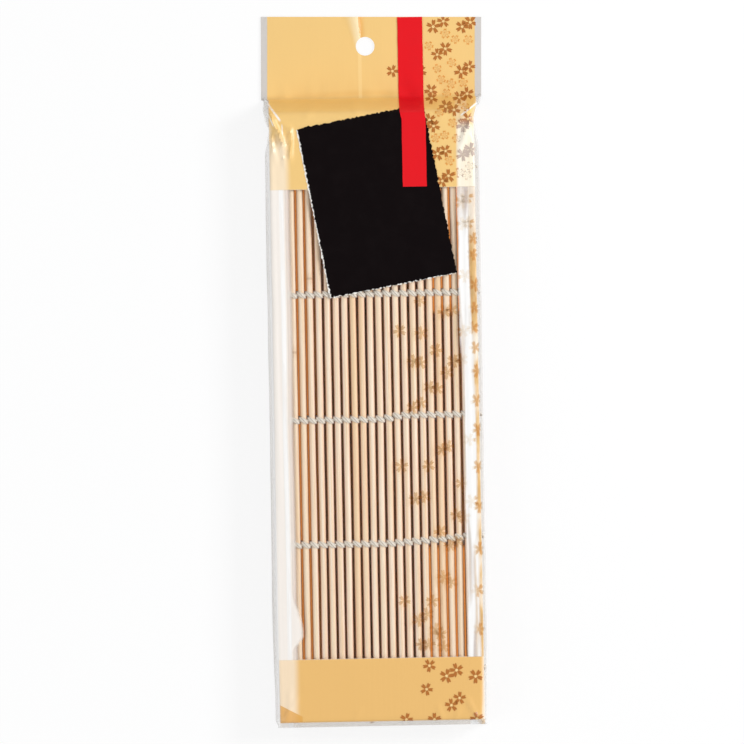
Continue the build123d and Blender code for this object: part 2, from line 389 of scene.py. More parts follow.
def front_finish():
    """Clear film, printed yellow above and below its window, with painted white glare down both
    sides.
    """
    finish = Finish("printed_film_front")
    x, y = finish.x, finish.y
    wander = (finish.speckle(finish.stretched(0.05, 0.012), 2.0) - 0.5) * 1.6
    glare_streaks = finish.speckle(finish.stretched(0.5, 0.03), 3.0)
    patches = finish.speckle(finish.stretched(0.12, 0.05), 3.0)
    wear_and_glare = finish.speckle(finish.stretched(0.22, 0.018), 2.0)
    at = x + wander

    # Where the print is, with soft borders
    soft, soft_side = 0.2, 0.3
    inside = x.rise(PRINT_LEFT - soft_side, PRINT_LEFT + soft_side)
    inside = inside * leaned(x, y).rise(PRINT_RIGHT + soft_side, PRINT_RIGHT - soft_side)
    rim = 1 - inside
    edge = x.rise(PRINT_LEFT - 1.4, PRINT_LEFT - 1.8)
    edge = edge.larger(x.rise(PRINT_RIGHT + 1.2, PRINT_RIGHT + 1.5))
    above = y.rise(PRINT_HEAD_FOOT - soft, PRINT_HEAD_FOOT + soft)
    below = y.rise(PRINT_FOOT_HEAD + soft, PRINT_FOOT_HEAD - soft)
    below = below * y.rise(PRINT_FOOT - soft, PRINT_FOOT + soft)
    beyond_foot = y.rise(PRINT_FOOT + soft, PRINT_FOOT - soft)
    yellow = (above + below).smaller(1.0) * inside

    # Painted reflection: a milky white glare down the left side, with a pointed flap over the first
    # slats near the foot
    body_end = y.rise(97.0, 88.0)
    flap = y.between(-112.0, -105.0, -104.3, -86.0)
    left_glare = (at - flap * 3.6).rise(-34.2, -36.4) * body_end * x.rise(-42.9, -41.9)
    first_slat_glare = at.rise(-33.2, -34.8) * body_end
    left_glare_line = at.between(-38.2, -37.6, -36.4, -35.7) * (1 - yellow)
    left_glare_line = left_glare_line * (0.55 + glare_streaks.rise(0.35, 0.55) * 0.45)

    # A ragged white glare and a strip of gold print down the right side; painted glare whitens the
    # gold above and in patches
    ragged = at + (glare_streaks - 0.5) * 1.6 - y.rise(40.0, -20.0) * 1.5
    right_glare = ragged.between(32.8, 33.8, 37.2, 38.4) * (1 - below)
    right_glare = right_glare * (0.4 + wear_and_glare.rise(0.36, 0.52) * 0.6)
    foot_glare = below * (at + glare_streaks * 3.0).rise(40.4, 42.4)
    strip = x.rise(GOLD_STRIP_LEFT - 0.5, GOLD_STRIP_LEFT + 0.4) * inside * (1 - yellow)
    # Painted glare whitens the gold strip above and in patches
    gold_glare = y.rise(46.0, 62.0).larger(patches.rise(0.5, 0.7)) * 0.75
    gold = finish.blend(gold_glare, colour(232, 190, 122), GLARE)
    glint = glints(x, y) * (0.5 + glare_streaks.rise(0.3, 0.55) * 0.5)

    # Painted reflection: where no yellow is printed the film shows glare white, or the gold strip
    glare_and_gold = finish.blend(strip, colour(255, 248, 240), gold)
    body = finish.blend(yellow, glare_and_gold, yellow_print(finish, at, above, below, body_end, glare_streaks))
    # Painted highlights: the glare lines, glare patches and glints are painted white
    bright = largest(
        left_glare_line * 0.9, right_glare * (1 - above * 0.75), foot_glare * 0.7, glint * 0.85
    )
    body = finish.blend(bright, body, WHITE_GLARE)
    # The side margins are painted a little glare white, with a grey line at the film's edge
    body = finish.blend(rim, body, finish.blend(edge * 0.8, WHITE_GLARE, RIM_GREY))
    # How much of the colours above shows, painted glare included; below the print's foot the steep
    # end wall is whitened a little as painted light
    ink = largest(
        yellow * 0.97,
        strip * (0.45 + patches.rise(0.35, 0.6) * 0.4),
        left_glare * 0.86,
        first_slat_glare * 0.55,
        left_glare_line * 0.92,
        right_glare * 0.92,
        rim * (0.13 + edge * 0.15),
        beyond_foot * 0.28,
        glint * 0.9,
    )
    return finish.show(layered(finish, ink, body, 0.012))


def header_finish():
    """The header's yellow print, with the seam and the pleat that show in it."""
    finish = Finish("printed_film_header")
    x, y = finish.x, finish.y
    upright = x - (y - 126.0) * 0.019
    inside = upright.between(-41.8, -41.5, 41.5, 41.8)
    seam = (1 - abs(x - SEAM_X - 0.2).rise(0.55, 0.85)) * y.rise(HOLE_Y - 1.5, HOLE_Y - 3.0)
    shade = (y + abs(x + 3.0) * 0.05).rise(114.0, 111.3)
    ground = finish.blend(shade * 0.6, YELLOW, SHADED_YELLOW)
    ground = finish.blend(seam * 0.6, ground, colour(248, 214, 146))
    # The pleat catches the light and shades the film beside it
    share = (y - PLEAT_FOOT) * (1 / PLEAT_LENGTH)
    left = PLEAT_LEFT - share * PLEAT_LEFT_SPREAD
    right = PLEAT_RIGHT - share * PLEAT_RIGHT_SPREAD
    facet = x.between(left, right, right, right + 0.3) * y.rise(PLEAT_FOOT, PLEAT_FOOT + 3.5)
    beside = x.between(right, right + 0.25, right + 0.4, right + 3.2) * y.rise(130.0, 136.0)
    ground = finish.blend(facet * 0.8, ground, colour(255, 238, 196))
    ground = finish.blend(beside * 0.8, ground, colour(228, 164, 74))
    body = finish.blend(inside, RIM_GREY, ground)
    ink = (inside * 0.97).larger(0.8)
    return finish.show(layered(finish, ink, body, 0.03))


def back_finish():
    """The back of the bag: thin printed film that lets light up between the slats at its sides."""
    finish = Finish("printed_film_back")
    x, y = finish.x, finish.y
    inside = x.between(-41.8, -41.4, 40.4, 40.8) * y.rise(PRINT_FOOT - 0.3, PRINT_FOOT + 0.2)
    left = x.between(-36.0, -34.5, -29.5, -21.8)
    low_right = x.rise(18.6, 19.2) * y.rise(CORD_ROWS[1], CORD_ROWS[1] - 3.7)
    high_right = x.rise(21.2, 21.8) * y.rise(21.5, 24.5)
    right = (low_right + high_right) * x.rise(38.0, 36.5)
    cloud = finish.speckle(finish.stretched(0.2, 0.2), 3.0)
    body = finish.blend(cloud * 0.3, colour(240, 192, 104), colour(232, 178, 92))
    body = finish.blend(inside, RIM_GREY, body)
    through = (0.2 + (left * 0.6).larger(right * 0.7)).smaller(0.9)
    printed = finish.surface(
        Base_Color=body, Roughness=0.35, Specular_IOR_Level=0.3, Normal=film_bump(finish)
    )
    film = finish.mix(through, printed, finish.see_through(BACK_LIGHT_TINT))
    edge = finish.mix(0.15, finish.see_through(BACK_RIM_TINT), printed)
    return finish.show(finish.mix(inside, edge, film))


def plain_finish(name, shade, lighter, roughness, grain=0.4, gloss=0.3):
    """A printed or paper surface with a slight cloud of a second shade."""
    finish = Finish(name)
    cloud = finish.speckle(finish.stretched(grain, grain), 4.0, 0.6)
    body = finish.blend(cloud.rise(0.4, 0.8) * 0.6, shade, lighter)
    shader = finish.surface(
        Base_Color=body,
        Roughness=roughness + cloud * 0.1,
        Specular_IOR_Level=gloss,
        Normal=finish.bump(cloud, 0.25, 0.2),
    )
    return finish.show(shader)


def blossom_finish(name, petal, eye, share, glare, tint):
    """Printed ink, tinted and see-through where share is under 1, washed out under the glare."""
    finish = Finish(name)
    x, y = finish.x, finish.y
    ring = finish.attribute("ring")
    wear_and_glare = finish.speckle(finish.stretched(1.5, 1.5), 3.0)
    washed = x.rise(38.6, 37.8).larger(y.rise(PRINT_HEAD_FOOT, PRINT_HEAD_FOOT + 3.0))
    washed = washed * x.rise(33.2, 34.6) * y.rise(101.0, 96.0) * y.rise(-116.0, -114.0)
    # Painted reflection: blossoms under the glare are washed out to grey and partly dropped
    body = finish.blend(ring.rise(EYE_RING, 0.18), petal, eye)
    body = finish.blend(washed * 0.8, body, colour(226, 214, 204))
    # The print is cut off at its foot, at its right edge and at the header's sloping upper edge
    (right_x, right_y), (left_x, left_y) = HEADER[2:]
    level = y + (x - left_x) * ((left_y - right_y) / (right_x - left_x))
    kept = y.rise(PRINT_FOOT - 0.1, PRINT_FOOT + 0.1) * level.rise(left_y, left_y - 0.2)
    kept = kept * leaned(x, y).rise(PRINT_RIGHT + 0.5, PRINT_RIGHT + 0.3)
    kept = kept * (1 - washed * glare)
    ink = finish.surface(Base_Color=body, Roughness=0.35)
    share = (share - wear_and_glare * 0.12).smaller(1.0)
    stain = finish.mix(share, finish.see_through(tint), ink)
    return finish.show(finish.mix(kept, finish.see_through(CLEAR_TINT), stain))


BAMBOO = bamboo_finish()
COTTON = cotton_finish()
FRONT_FILM = front_finish()
HEADER_FILM = header_finish()
BACK_FILM = back_finish()
SEAM_FILM = plain_finish("seam_film", colour(232, 180, 96), colour(238, 192, 112), 0.35)
LABEL_PAPER = plain_finish("label_paper", colour(240, 237, 231), colour(250, 248, 244), 0.8, 2.0)
LABEL_BLACK = plain_finish("label_black", colour(9, 4, 5), colour(16, 10, 11), 0.5, 0.15, 0.04)
RED_FILM = plain_finish("red_film", colour(226, 22, 32), colour(218, 26, 34), 0.4, 0.1, 0.12)
BROWN_INK = blossom_finish(
    "brown_ink", colour(176, 104, 28), colour(248, 214, 146), 1.12, 0.3, CLEAR_TINT
)
OUTLINE_INK = blossom_finish(
    "outline_ink", colour(222, 144, 42), colour(222, 144, 42), 1.12, 0.7, CLEAR_TINT
)
GOLD_INK = blossom_finish(
    "gold_ink", colour(206, 136, 72), colour(244, 214, 168), 0.13, 0.75, STAIN_TINT
)


# Meshes
def piece_from(name, points, faces, finish, **attributes):
    """An object from points in millimetres, with numbers kept for each point."""
    mesh = bpy.data.meshes.new(name)
    mesh.from_pydata([(x * MM, y * MM, z * MM) for x, y, z in points], [], faces)
    for key, values in attributes.items():
        mesh.attributes.new(key, "FLOAT", "POINT").data.foreach_set("value", values)
    mesh.materials.append(finish)
    mesh.shade_smooth()
    piece = bpy.data.objects.new(name, mesh)
    scene.collection.objects.link(piece)
    return piece


def grid_faces(rows, columns, closed=False):
    """Quads between rows of points, joined round where closed."""
    faces = []
    for row in range(rows - 1):
        for column in range(columns if closed else columns - 1):
            after = (column + 1) % columns
            here, above = row * columns, (row + 1) * columns
            faces.append((here + column, here + after, above + after, above + column))
    return faces


def finished(piece):
    """Makes what the piece's modifiers give its own plain mesh."""
    ready = piece.evaluated_get(bpy.context.evaluated_depsgraph_get())
    mesh = bpy.data.meshes.new_from_object(ready)
    piece.modifiers.clear()
    piece.data = mesh
    return piece


def thicken(piece, thickness):
    """Gives a sheet its thickness, downwards from its upper face."""
    wall = piece.modifiers.new("wall", "SOLIDIFY")
    wall.thickness = thickness * MM
    wall.offset = -1
    finished(piece)
    piece.data.set_sharp_from_angle(angle=radians(50))
    return piece


# Everything that repeats along the mat or the print is set in its places by one tree
def repeat_tree():
    tree = bpy.data.node_groups.new("repeat_in_places", "GeometryNodeTree")
    for name, kind in (
        ("Places", "Geometry"),
        ("Piece", "Object"),
        ("Finish", "Material"),
        ("Seed", "Int"),
        ("Sway", "Float"),
        ("Sway Waves", "Float"),
    ):
        tree.interface.new_socket(name, in_out="INPUT", socket_type=f"NodeSocket{kind}")
    tree.interface.new_socket("Result", in_out="OUTPUT", socket_type="NodeSocketGeometry")
    nodes = Nodes(tree)
    given = tree.nodes.new("NodeGroupInput")
    wires = {socket.name: Wire(nodes, socket) for socket in given.outputs if socket.name}

    def named(name):
        return nodes.add("GeometryNodeInputNamedAttribute", {"data_type": "FLOAT"}, {"Name": name})

    def chance(seed):
        inputs = {2: 0.0, 3: 1.0, "Seed": seed}
        return nodes.add("FunctionNodeRandomValue", {"data_type": "FLOAT"}, inputs, 1)

    piece = nodes.add("GeometryNodeObjectInfo", None, {"Object": wires["Piece"]}, "Geometry")
    turn = nodes.add("ShaderNodeCombineXYZ", None, {1: named("turn"), 2: named("spin")})
    inputs = {
        "Points": wires["Places"],
        "Instance": piece,
        "Rotation": turn,
        "Scale": named("size"),
    }
    flow = nodes.add("GeometryNodeInstanceOnPoints", None, inputs)
    tone, mark = chance(wires["Seed"]), chance(wires["Seed"] + 7.0) - 0.5
    for name, value in (("tone", tone), ("mark", mark)):
        settings = {"data_type": "FLOAT", "domain": "INSTANCE"}
        inputs = {"Geometry": flow, "Name": name, "Value": value}
        flow = nodes.add("GeometryNodeStoreNamedAttribute", settings, inputs)
    flow = nodes.add("GeometryNodeRealizeInstances", None, {"Geometry": flow})
    # Each copy sways along its length in waves of its own, told apart by its tone and mark
    own_place = {0: named("tone") * 900.0, 2: named("mark") * 700.0}
    spot = nodes.vector("MULTIPLY", nodes.add("GeometryNodeInputPosition"), (0.0, 1.0, 0.0))
    spot = nodes.vector("SCALE", spot, wires["Sway Waves"])
    spot = nodes.vector("ADD", spot, nodes.add("ShaderNodeCombineXYZ", None, own_place))
    inputs = {"Vector": spot, "Scale": 1.0, "Detail": 1.0}
    wave = nodes.add("ShaderNodeTexNoise", None, inputs, "Color")
    wave = nodes.vector("SUBTRACT", wave, (0.5, 0.5, 0.5))
    wave = nodes.vector("MULTIPLY", wave, (1.0, 0.0, 0.3))
    wave = nodes.vector("SCALE", wave, wires["Sway"])
    flow = nodes.add("GeometryNodeSetPosition", None, {"Geometry": flow, "Offset": wave})
    inputs = {"Geometry": flow, "Material": wires["Finish"]}
    flow = nodes.add("GeometryNodeSetMaterial", None, inputs)
    result = tree.nodes.new("NodeGroupOutput")
    tree.links.new(flow.socket, result.inputs["Result"])
    return tree


REPEAT = repeat_tree()
REPEAT_SOCKETS = {item.name: item.identifier for item in REPEAT.interface.items_tree}


def repeated(name, prototype, places, finish, seed=0, sway=0.0, sway_waves=0.0):
    """One mesh of the prototype at every place, given as x, y, z, turn about Y, spin and size."""
    columns = list(zip(*places))
    numbers = {"turn": columns[3], "spin": columns[4], "size": columns[5]}
    piece = piece_from(name, list(zip(*columns[:3])), [], finish, **numbers)
    repeat = piece.modifiers.new("repeat", "NODES")
    repeat.node_group = REPEAT
    given = {
        "Piece": prototype,
        "Finish": finish,
        "Seed": seed,
        "Sway": sway * MM,
        "Sway Waves": sway_waves,
    }
    for key, value in given.items():
        repeat[REPEAT_SOCKETS[key]] = value
    finished(piece)
    for key in ("turn", "spin", "size"):
        if key in piece.data.attributes:
            piece.data.attributes.remove(piece.data.attributes[key])
    piece.data.shade_smooth()
    return piece


# Where every slat lies, folded in three: x, z and heading in degrees
def walk_the_mat():
    flat = [0.0] * (PANEL_SLATS - 1)
    fold = [FOLD_TURN] * 3
    turns = flat + fold + flat + [-turn for turn in fold] + [0.0] * (UPPER_SLATS - 1)
    places = [(0.0, FIRST_LEVEL, 0.0)]
    for turn in turns:
        x, z, heading = places[-1]
        after = heading + turn
        x += PITCH / 2 * (cos(radians(heading)) + cos(radians(after)))
        z += PITCH / 2 * (sin(radians(heading)) + sin(radians(after)))
        places.append((x, z, after))
    across = [place[0] for place in places]
    shift = MAT_MIDDLE_X - (min(across) + max(across)) / 2
    return [(x + shift, z, heading) for x, z, heading in places]


SLATS = walk_the_mat()
# The mat's bodies in their order along it, each with its number of slats
SLAT_COUNTS = {
    "lower_panel": PANEL_SLATS,
    "right_fold_1": 1,
    "right_fold_2": 1,
    "middle_panel": PANEL_SLATS,
    "left_fold_1": 1,
    "left_fold_2": 1,
    "upper_panel": UPPER_SLATS,
}


def mat_nodes(body):
    """The node of a body's slats and those of its cords."""
    if not body.endswith("_panel"):
        return f"{body}_slat", [f"{body}_cords"]
    panel = body.removesuffix("_panel")
    return f"{panel}_slats", [f"{panel}_cord_{row + 1}" for row in range(len(CORD_ROWS))]


def slat_prototype():
    """A round stick, turned along its length, with slightly rounded ends."""
    rings, around = 60, 14
    points, flanks, tips = [], [], []
    for ring in range(rings + 1):
        y = SLAT_LENGTH / 2 * sin(pi * (ring / rings - 0.5))
        inset = SLAT_LENGTH / 2 - abs(y)
        radius = SLAT_RADIUS * (0.74 + 0.26 * min(inset / 0.5, 1.0) ** 0.5)
        for step in range(around):
            angle = tau * step / around
            points.append((radius * sin(angle), y, radius * cos(angle)))
            # How far a point faces sideways, for the painted shade on the slats' sides
            flanks.append(abs(sin(angle)))
            tips.append(1.0 if inset < 0.25 else 0.0)
    faces = [face[::-1] for face in grid_faces(rings + 1, around, closed=True)]
    last = rings * around
    faces.append(tuple(range(around)))
    faces.append(tuple(last + step for step in reversed(range(around))))
    return piece_from("slat_prototype", points, faces, BAMBOO, flank=flanks, tip=tips)


def strand_points(rows, around, spine, half_width, half_height, twist, plies):
    """Rings of a twisted strand along a spine of (middle, direction, outward) and its ply depth."""
    end_share, tip_share = 0.14, 0.05
    points, depths = [], []
    for row in range(rows + 1):
        share = row / rows
        middle, forward, outward = spine(share)
        sideways = forward.cross(outward).normalized()
        into_end = max(0.0, abs(2 * share - 1) - (1 - end_share)) / end_share
        dome = max(sqrt(max(0.0, 1 - into_end**2)), tip_share)
        wide, high = half_width(share) * dome, half_height(share) * dome
        for step in range(around):
            angle = tau * step / around
            # The ply depth shapes the strand and also darkens the cotton's grooves as painted shade
            ply = abs(cos(plies / 2 * (angle - twist * share)))
            fullness = 0.84 + 0.16 * ply
            point = middle + sideways * (wide * fullness * cos(angle))
            points.append(tuple(point + outward * (high * fullness * sin(angle))))
            depths.append(ply)
    return points, depths


def capped(rows, around):
    """Faces of a closed tube of rings."""
    faces = grid_faces(rows + 1, around, closed=True)
    faces.append(tuple(reversed(range(around))))
    faces.append(tuple(rows * around + step for step in range(around)))
    return faces


def cord_pass_prototype():
    """One strand's half turn over a slat, from gap to gap, lying flatter on top of it."""
    rows, around = 18, 20
    climb = SLAT_RADIUS + 0.44

    def spine(share):
        angle = pi * (share * 1.14 - 0.07)
        middle = Vector((-PITCH / 2 * cos(angle), CORD_CROSSING * cos(angle), climb * sin(angle)))
        forward = Vector((PITCH / 2 * sin(angle), -CORD_CROSSING * sin(angle), climb * cos(angle)))
        outward = Vector((-cos(angle) * PITCH / 2, cos(angle) * CORD_CROSSING, climb * sin(angle)))
        forward.normalize()
        outward = (outward - forward * outward.dot(forward)).normalized()
        return middle, forward, outward

    def half_width(share):
        return 0.42 + 0.60 * sin(pi * share)

    def half_height(share):
        return 0.33 + 0.09 * sin(pi * share)

    points, depths = strand_points(rows, around, spine, half_width, half_height, -tau * 0.5, 5)
    return piece_from("cord_pass_prototype", points, capped(rows, around), COTTON, ply=depths)


def knot_prototype():
    """A small overhand knot at a free edge."""
    rows, around = 60, 8
    half_width, half_length, depth, radius = 0.186, 0.3024, 0.42, 0.34

    def place(angle):
        across = half_width * (sin(angle) + 2 * sin(2 * angle))
        along = half_length * (cos(angle) - 2 * cos(2 * angle))
        return Vector((across, along, -depth * sin(3 * angle)))

    def spine(share):
        angle = tau * share
        middle = place(angle)
        forward = (place(angle + 0.01) - middle).normalized()
        outward = Vector((0, 0, 1)) - forward * forward.z
        return middle, forward, outward.normalized()

    def thickness(share):
        return radius

    points, depths = strand_points(rows, around, spine, thickness, thickness, tau * 9, 4)
    return piece_from("knot_prototype", points, capped(rows, around), COTTON, ply=depths)


def cord_drift(body, row, x):
    """How far the cord rows of the top panel have slid along the slats."""
    if body != "upper_panel":
        return 0.0
    if row == CORD_ROWS[2]:
        return -0.5 + 1.4 * swell(x - 4.0, 9.0)
    if row == CORD_ROWS[1]:
        return -0.3 + 2.6 * clamped((x - 2.0) / 36.0) ** 1.2
    return -0.3


def build_mat():
    slat, cord_pass, knot = slat_prototype(), cord_pass_prototype(), knot_prototype()
    first = 0
    for order, (body, count) in enumerate(SLAT_COUNTS.items()):
        slat_node, cord_nodes = mat_nodes(body)
        group = SLATS[first : first + count]
        first += count
        slat_places = [(x, MAT_MIDDLE_Y, z, -radians(heading), 0, 1) for x, z, heading in group]
        slats = repeated(f"{body}_slats", slat, slat_places, BAMBOO, 11 + order, 0.34, 17.0)
        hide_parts(slat_node)
        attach(slats, body)
        passes = []
        for x, z, heading in group:
            for row in CORD_ROWS:
                for under in (0, pi):
                    along = row + cord_drift(body, row, x)
                    passes.append((x, along, z, -radians(heading) + under, 0, 1))
        cords = repeated(f"{body}_cord_rows", cord_pass, passes, COTTON, 31 + order)
        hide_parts(*cord_nodes)
        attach(cords, body)
    edges = {"lower": (SLATS[0], -1), "upper": (SLATS[-1], 1)}
    for name, ((x, z, heading), side) in edges.items():
        places = []
        for step, row in enumerate(CORD_ROWS):
            along = row + cord_drift(f"{name}_panel", row, x)
            places.append((x + side * KNOT_REACH, along, z, 0.3 * side, 0.4 * step, 1))
        knots = repeated(f"{name}_edge_knots", knot, places, COTTON, 51)
        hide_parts(f"{name}_knots")
        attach(knots, f"{name}_panel")
    for prototype in (slat, cord_pass, knot):
        bpy.data.objects.remove(prototype)


# The bag's front: creases as x, y to x, y, height and half width
CREASES = (
    (-38.4, 72, -37.6, -20, 0.30, 0.45),
    (-36.4, 66, -36.9, -92, 0.22, 0.40),
    (-35.2, 20, -34.8, -112, 0.18, 0.40),
    (-40.6, 98, -39.6, -60, 0.35, 0.60),
    (33.4, 78, 34.2, -112, 0.22, 0.50),
    (36.4, 92, 36.9, -108, 0.30, 0.50),
    (39.2, 90, 38.6, -60, 0.30, 0.60),
    (-41.8, 106, -34.6, 88, 1.40, 0.80),
    (-36.0, 99, -32.4, 97, 0.80, 0.70),
    (-32.6, 98, -33.2, 84, 1.20, 0.80),
    (-37.2, 96, -35.2, 82, 0.80, 0.70),
    (-41.8, 100, -39.0, 84, 0.90, 0.80),
    (41.0, 106, 34.0, 99, 1.10, 0.70),
    (40.4, 102, 35.4, 90, 1.00, 0.80),
    (38.0, 98, 33.5, 84, 0.50, 0.80),
    (-22.0, 110, -27.0, 101, 0.45, 1.40),
    (-8.0, 110, -6.0, 100, 0.35, 1.20),
    (9.0, 110, 6.0, 100, 0.35, 1.40),
    (24.5, 110, 28.0, 100, 0.40, 1.30),
    (-41.0, -141, -34.0, -130, 0.70, 0.90),
    (-38.5, -141, -37.0, -126, 0.50, 0.80),
    (38.5, -141, 33.0, -131, 0.60, 0.90),
    (24.0, -141, 21.5, -134, 0.35, 0.90),
    (28.5, -141, 30.5, -135, 0.35, 0.90),
    (-12.0, -141, -9.0, -135, 0.25, 1.10),
)


def clamped(value):
    return min(max(value, 0.0), 1.0)


def crease_height(x, y):
    """How far the creases near a point lift the film."""
    reach = 4
    height = 0.0
    for x0, y0, x1, y1, lift, half_width in CREASES:
        near_x = min(x0, x1) - reach < x < max(x0, x1) + reach
        near_y = min(y0, y1) - reach < y < max(y0, y1) + reach
        if near_x and near_y:
            run_x, run_y = x1 - x0, y1 - y0
            share = clamped(((x - x0) * run_x + (y - y0) * run_y) / (run_x**2 + run_y**2))
            away = hypot(x - x0 - share * run_x, y - y0 - share * run_y)
            fade = min(1.0, share * 5, (1 - share) * 5) * 0.8 + 0.2
            height += lift * fade * exp(-((away / half_width) ** 2))
    return height


def swell(distance, run):
    """0 at the edge to 1 inside, as a quarter ellipse."""
    return sqrt(1 - (1 - clamped(distance / run)) ** 2)


def edge_at(edge, y):
    """Where a side edge of the bag lies at y: smoothly between its given points, and wavering."""
    waver = 0.2 * noise.noise(Vector((y * 0.06, 2.0, 0)))
    for (y0, x0), (y1, x1) in zip(edge, edge[1:]):
        if y <= y1:
            share = clamped((y - y0) / (y1 - y0))
            return x0 + (x1 - x0) * share * share * (3 - 2 * share) + waver
    return edge[-1][1] + waver


def pleat_height(x, y):
    """How far the pleat above the hanging hole stands up."""
    share = clamped((y - PLEAT_FOOT) / PLEAT_LENGTH)
    left = PLEAT_LEFT - PLEAT_LEFT_SPREAD * share
    right = PLEAT_RIGHT - PLEAT_RIGHT_SPREAD * share
    ramp = min(max((x - left) / (right - left), 0.0), max(0.0, 1 - (x - right) / 0.8))
    return PLEAT_HEIGHT * share * ramp


def front_height(x, y):
    """The height of the outer face of the front film or header over a point."""
    ripple = noise.noise(Vector((x * 0.10, y * 0.035, 3.7)))
    pucker = noise.noise(Vector((x * 0.20, y * 0.06, 8.1)))
    near = exp(-abs(y - BAG_HEAD) / 5)
    base = HEADER_LEVEL + 0.2 * (1 + ripple) + 0.35 * near * (1 + 2 * pucker) + pleat_height(x, y)
    if y >= BAG_HEAD:
        return base + crease_height(x, y) * 0.5
    left, right = edge_at(LEFT_EDGE, y), edge_at(RIGHT_EDGE, y)
    side = swell(x - left, SIDE_RUN) * swell(right - x, SIDE_RUN)
    foot = swell(y - BAG_FOOT, FOOT_RUN)
    climb = clamped((BAG_HEAD - y) / (BAG_HEAD - FRONT_HEAD))
    shoulder = sin(pi / 2 * climb) ** 1.7
    full = side * foot * shoulder
    outer = SHEET_LEVEL + (base - SHEET_LEVEL) * near
    top = FRONT_LEVEL + 0.12 * ripple + crease_height(x, y)
    dent = 1.8 * max(0.0, noise.noise(Vector((x * 0.12, y * 0.1, 1.3)))) * (1 - climb) * full
    return outer + (top - outer) * full - dent


def edge_spaced(low, high, low_run, high_run, step, edge_steps=9):
    """Places from low to high, closer together over a steep run at each end."""
    near = [low + low_run * (1 - cos(pi / 2 * share / edge_steps)) for share in range(edge_steps)]
    far = [high - high_run * (1 - cos(pi / 2 * share / edge_steps)) for share in range(edge_steps)]
    start, stop = low + low_run, high - high_run
    count = max(1, round((stop - start) / step))
    middle = [start + (stop - start) * share / count for share in range(count + 1)]
    return near + middle + far[::-1]


def build_front_film():
    shares = edge_spaced(0.0, FILM_WIDTH, SIDE_RUN, SIDE_RUN, 0.85)
    rows = edge_spaced(BAG_FOOT, BAG_HEAD, FOOT_RUN, BAG_HEAD - FRONT_HEAD, 1.25, 14)
    points = []
    for y in rows:
        left, right = edge_at(LEFT_EDGE, y), edge_at(RIGHT_EDGE, y)
        for share in shares:
            x = left + (right - left) * share / FILM_WIDTH
            points.append((x, y, front_height(x, y)))
    film = piece_from("bag_front", points, grid_faces(len(rows), len(shares)), FRONT_FILM)
    return thicken(film, FILM_THICKNESS)


def build_back_film():
    (_, _, low_z), (_, _, high_z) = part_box("back_film")
    inset = 0.5
    shares = edge_spaced(0.0, FILM_WIDTH, 2.0, 2.0, 2.0, 3)
    rows = edge_spaced(BAG_FOOT, BAG_HEAD, 3.0, 3.0, 2.5, 3)
    points = []
    for y in rows:
        left, right = edge_at(LEFT_EDGE, y) + inset, edge_at(RIGHT_EDGE, y) - inset
        for share in shares:
            points.append((left + (right - left) * share / FILM_WIDTH, y, high_z / MM))
    film = piece_from("bag_back", points, grid_faces(len(rows), len(shares)), BACK_FILM)
    return thicken(film, (high_z - low_z) / MM)


def build_header():
    """The welded header, in rings from the hanging hole out to its four edges."""
    rings, side_steps = 34, (70, 26, 70, 26)
    outline = []
    for (x0, y0), (x1, y1), steps in zip(HEADER, HEADER[1:] + HEADER[:1], side_steps):
        for step in range(steps):
            outline.append((x0 + (x1 - x0) * step / steps, y0 + (y1 - y0) * step / steps))
    points = []
    for ring in range(rings + 1):
        share = (ring / rings) ** 1.15
        for x, y in outline:
            reach = hypot(x - HOLE_X, y - HOLE_Y)
            hole_x = HOLE_X + (x - HOLE_X) / reach * HOLE_RADIUS
            hole_y = HOLE_Y + (y - HOLE_Y) / reach * HOLE_RADIUS
            here_x, here_y = hole_x + (x - hole_x) * share, hole_y + (y - hole_y) * share
            points.append((here_x, here_y, front_height(here_x, here_y) + HEADER_LIFT))
    faces = [face[::-1] for face in grid_faces(rings + 1, len(outline), closed=True)]
    return thicken(piece_from("bag_header", points, faces, HEADER_FILM), HEADER_THICKNESS)


def torn(seed, place, depth):
    """How far a torn edge stands in at a place along it."""
    fine = 0.85
    coarse = noise.noise(Vector((place * 0.5, seed, 0.5)))
    close = noise.noise(Vector((place * 1.9, seed, 4.5)))
    return depth * (coarse * (1 - fine) + close * fine)


def label_sheet(name, shift, lift, finish, seed, depth):
    """A turned rectangle with torn edges, laid over the front film and shifted across and along."""
    width, length = LABEL_WIDTH - LABEL_RIM, LABEL_LENGTH - LABEL_RIM
    columns, rows = round(width / LABEL_STEP), round(length / LABEL_STEP)
    turn = radians(LABEL_TURN)
    # The tear moves the outermost points and dies away within a few steps
    fall = 60
    points = []
    for row in range(rows + 1):
        for column in range(columns + 1):
            u, v = 2 * column / columns - 1, 2 * row / rows - 1
            along, across = v * length / 2 + shift[1], u * width / 2 + shift[0]
            across += torn(seed + (1 if u > 0 else 2), along, depth) * abs(u) ** fall
            along += torn(seed + (3 if v > 0 else 4), across, depth) * abs(v) ** fall
            x = LABEL_X + across * cos(turn) - along * sin(turn)
            y = LABEL_Y + across * sin(turn) + along * cos(turn)
            points.append((x, y, front_height(x, y) + lift))
    sheet = piece_from(name, points, grid_faces(rows + 1, columns + 1), finish)
    return thicken(sheet, LABEL_THICKNESS)


def build_red_band():
    """The band, which sways and narrows a little below the shoulder, where it lies higher."""
    columns = 10
    rows = edge_spaced(BAND_FOOT, BAND_HEAD, 0.5, 0.5, 0.8, 2)
    points = []
    for y in rows:
        lean = 1 - swell(y - 101.0, 9.0)
        middle = BAND_X + 0.75 * lean + 0.1 * noise.noise(Vector((y * 0.2, 9.0, 0)))
        width = BAND_WIDTH - 0.4 * lean
        lift = BAND_LIFT + 0.3 * exp(-(((y - 101.5) / 3) ** 2))
        for column in range(columns + 1):
            x = middle + width * (column / columns - 0.5)
            points.append((x, y, front_height(x, y) + lift))
    strip = piece_from("red_band_strip", points, grid_faces(len(rows), columns + 1), RED_FILM)
    return thicken(strip, BAND_THICKNESS)


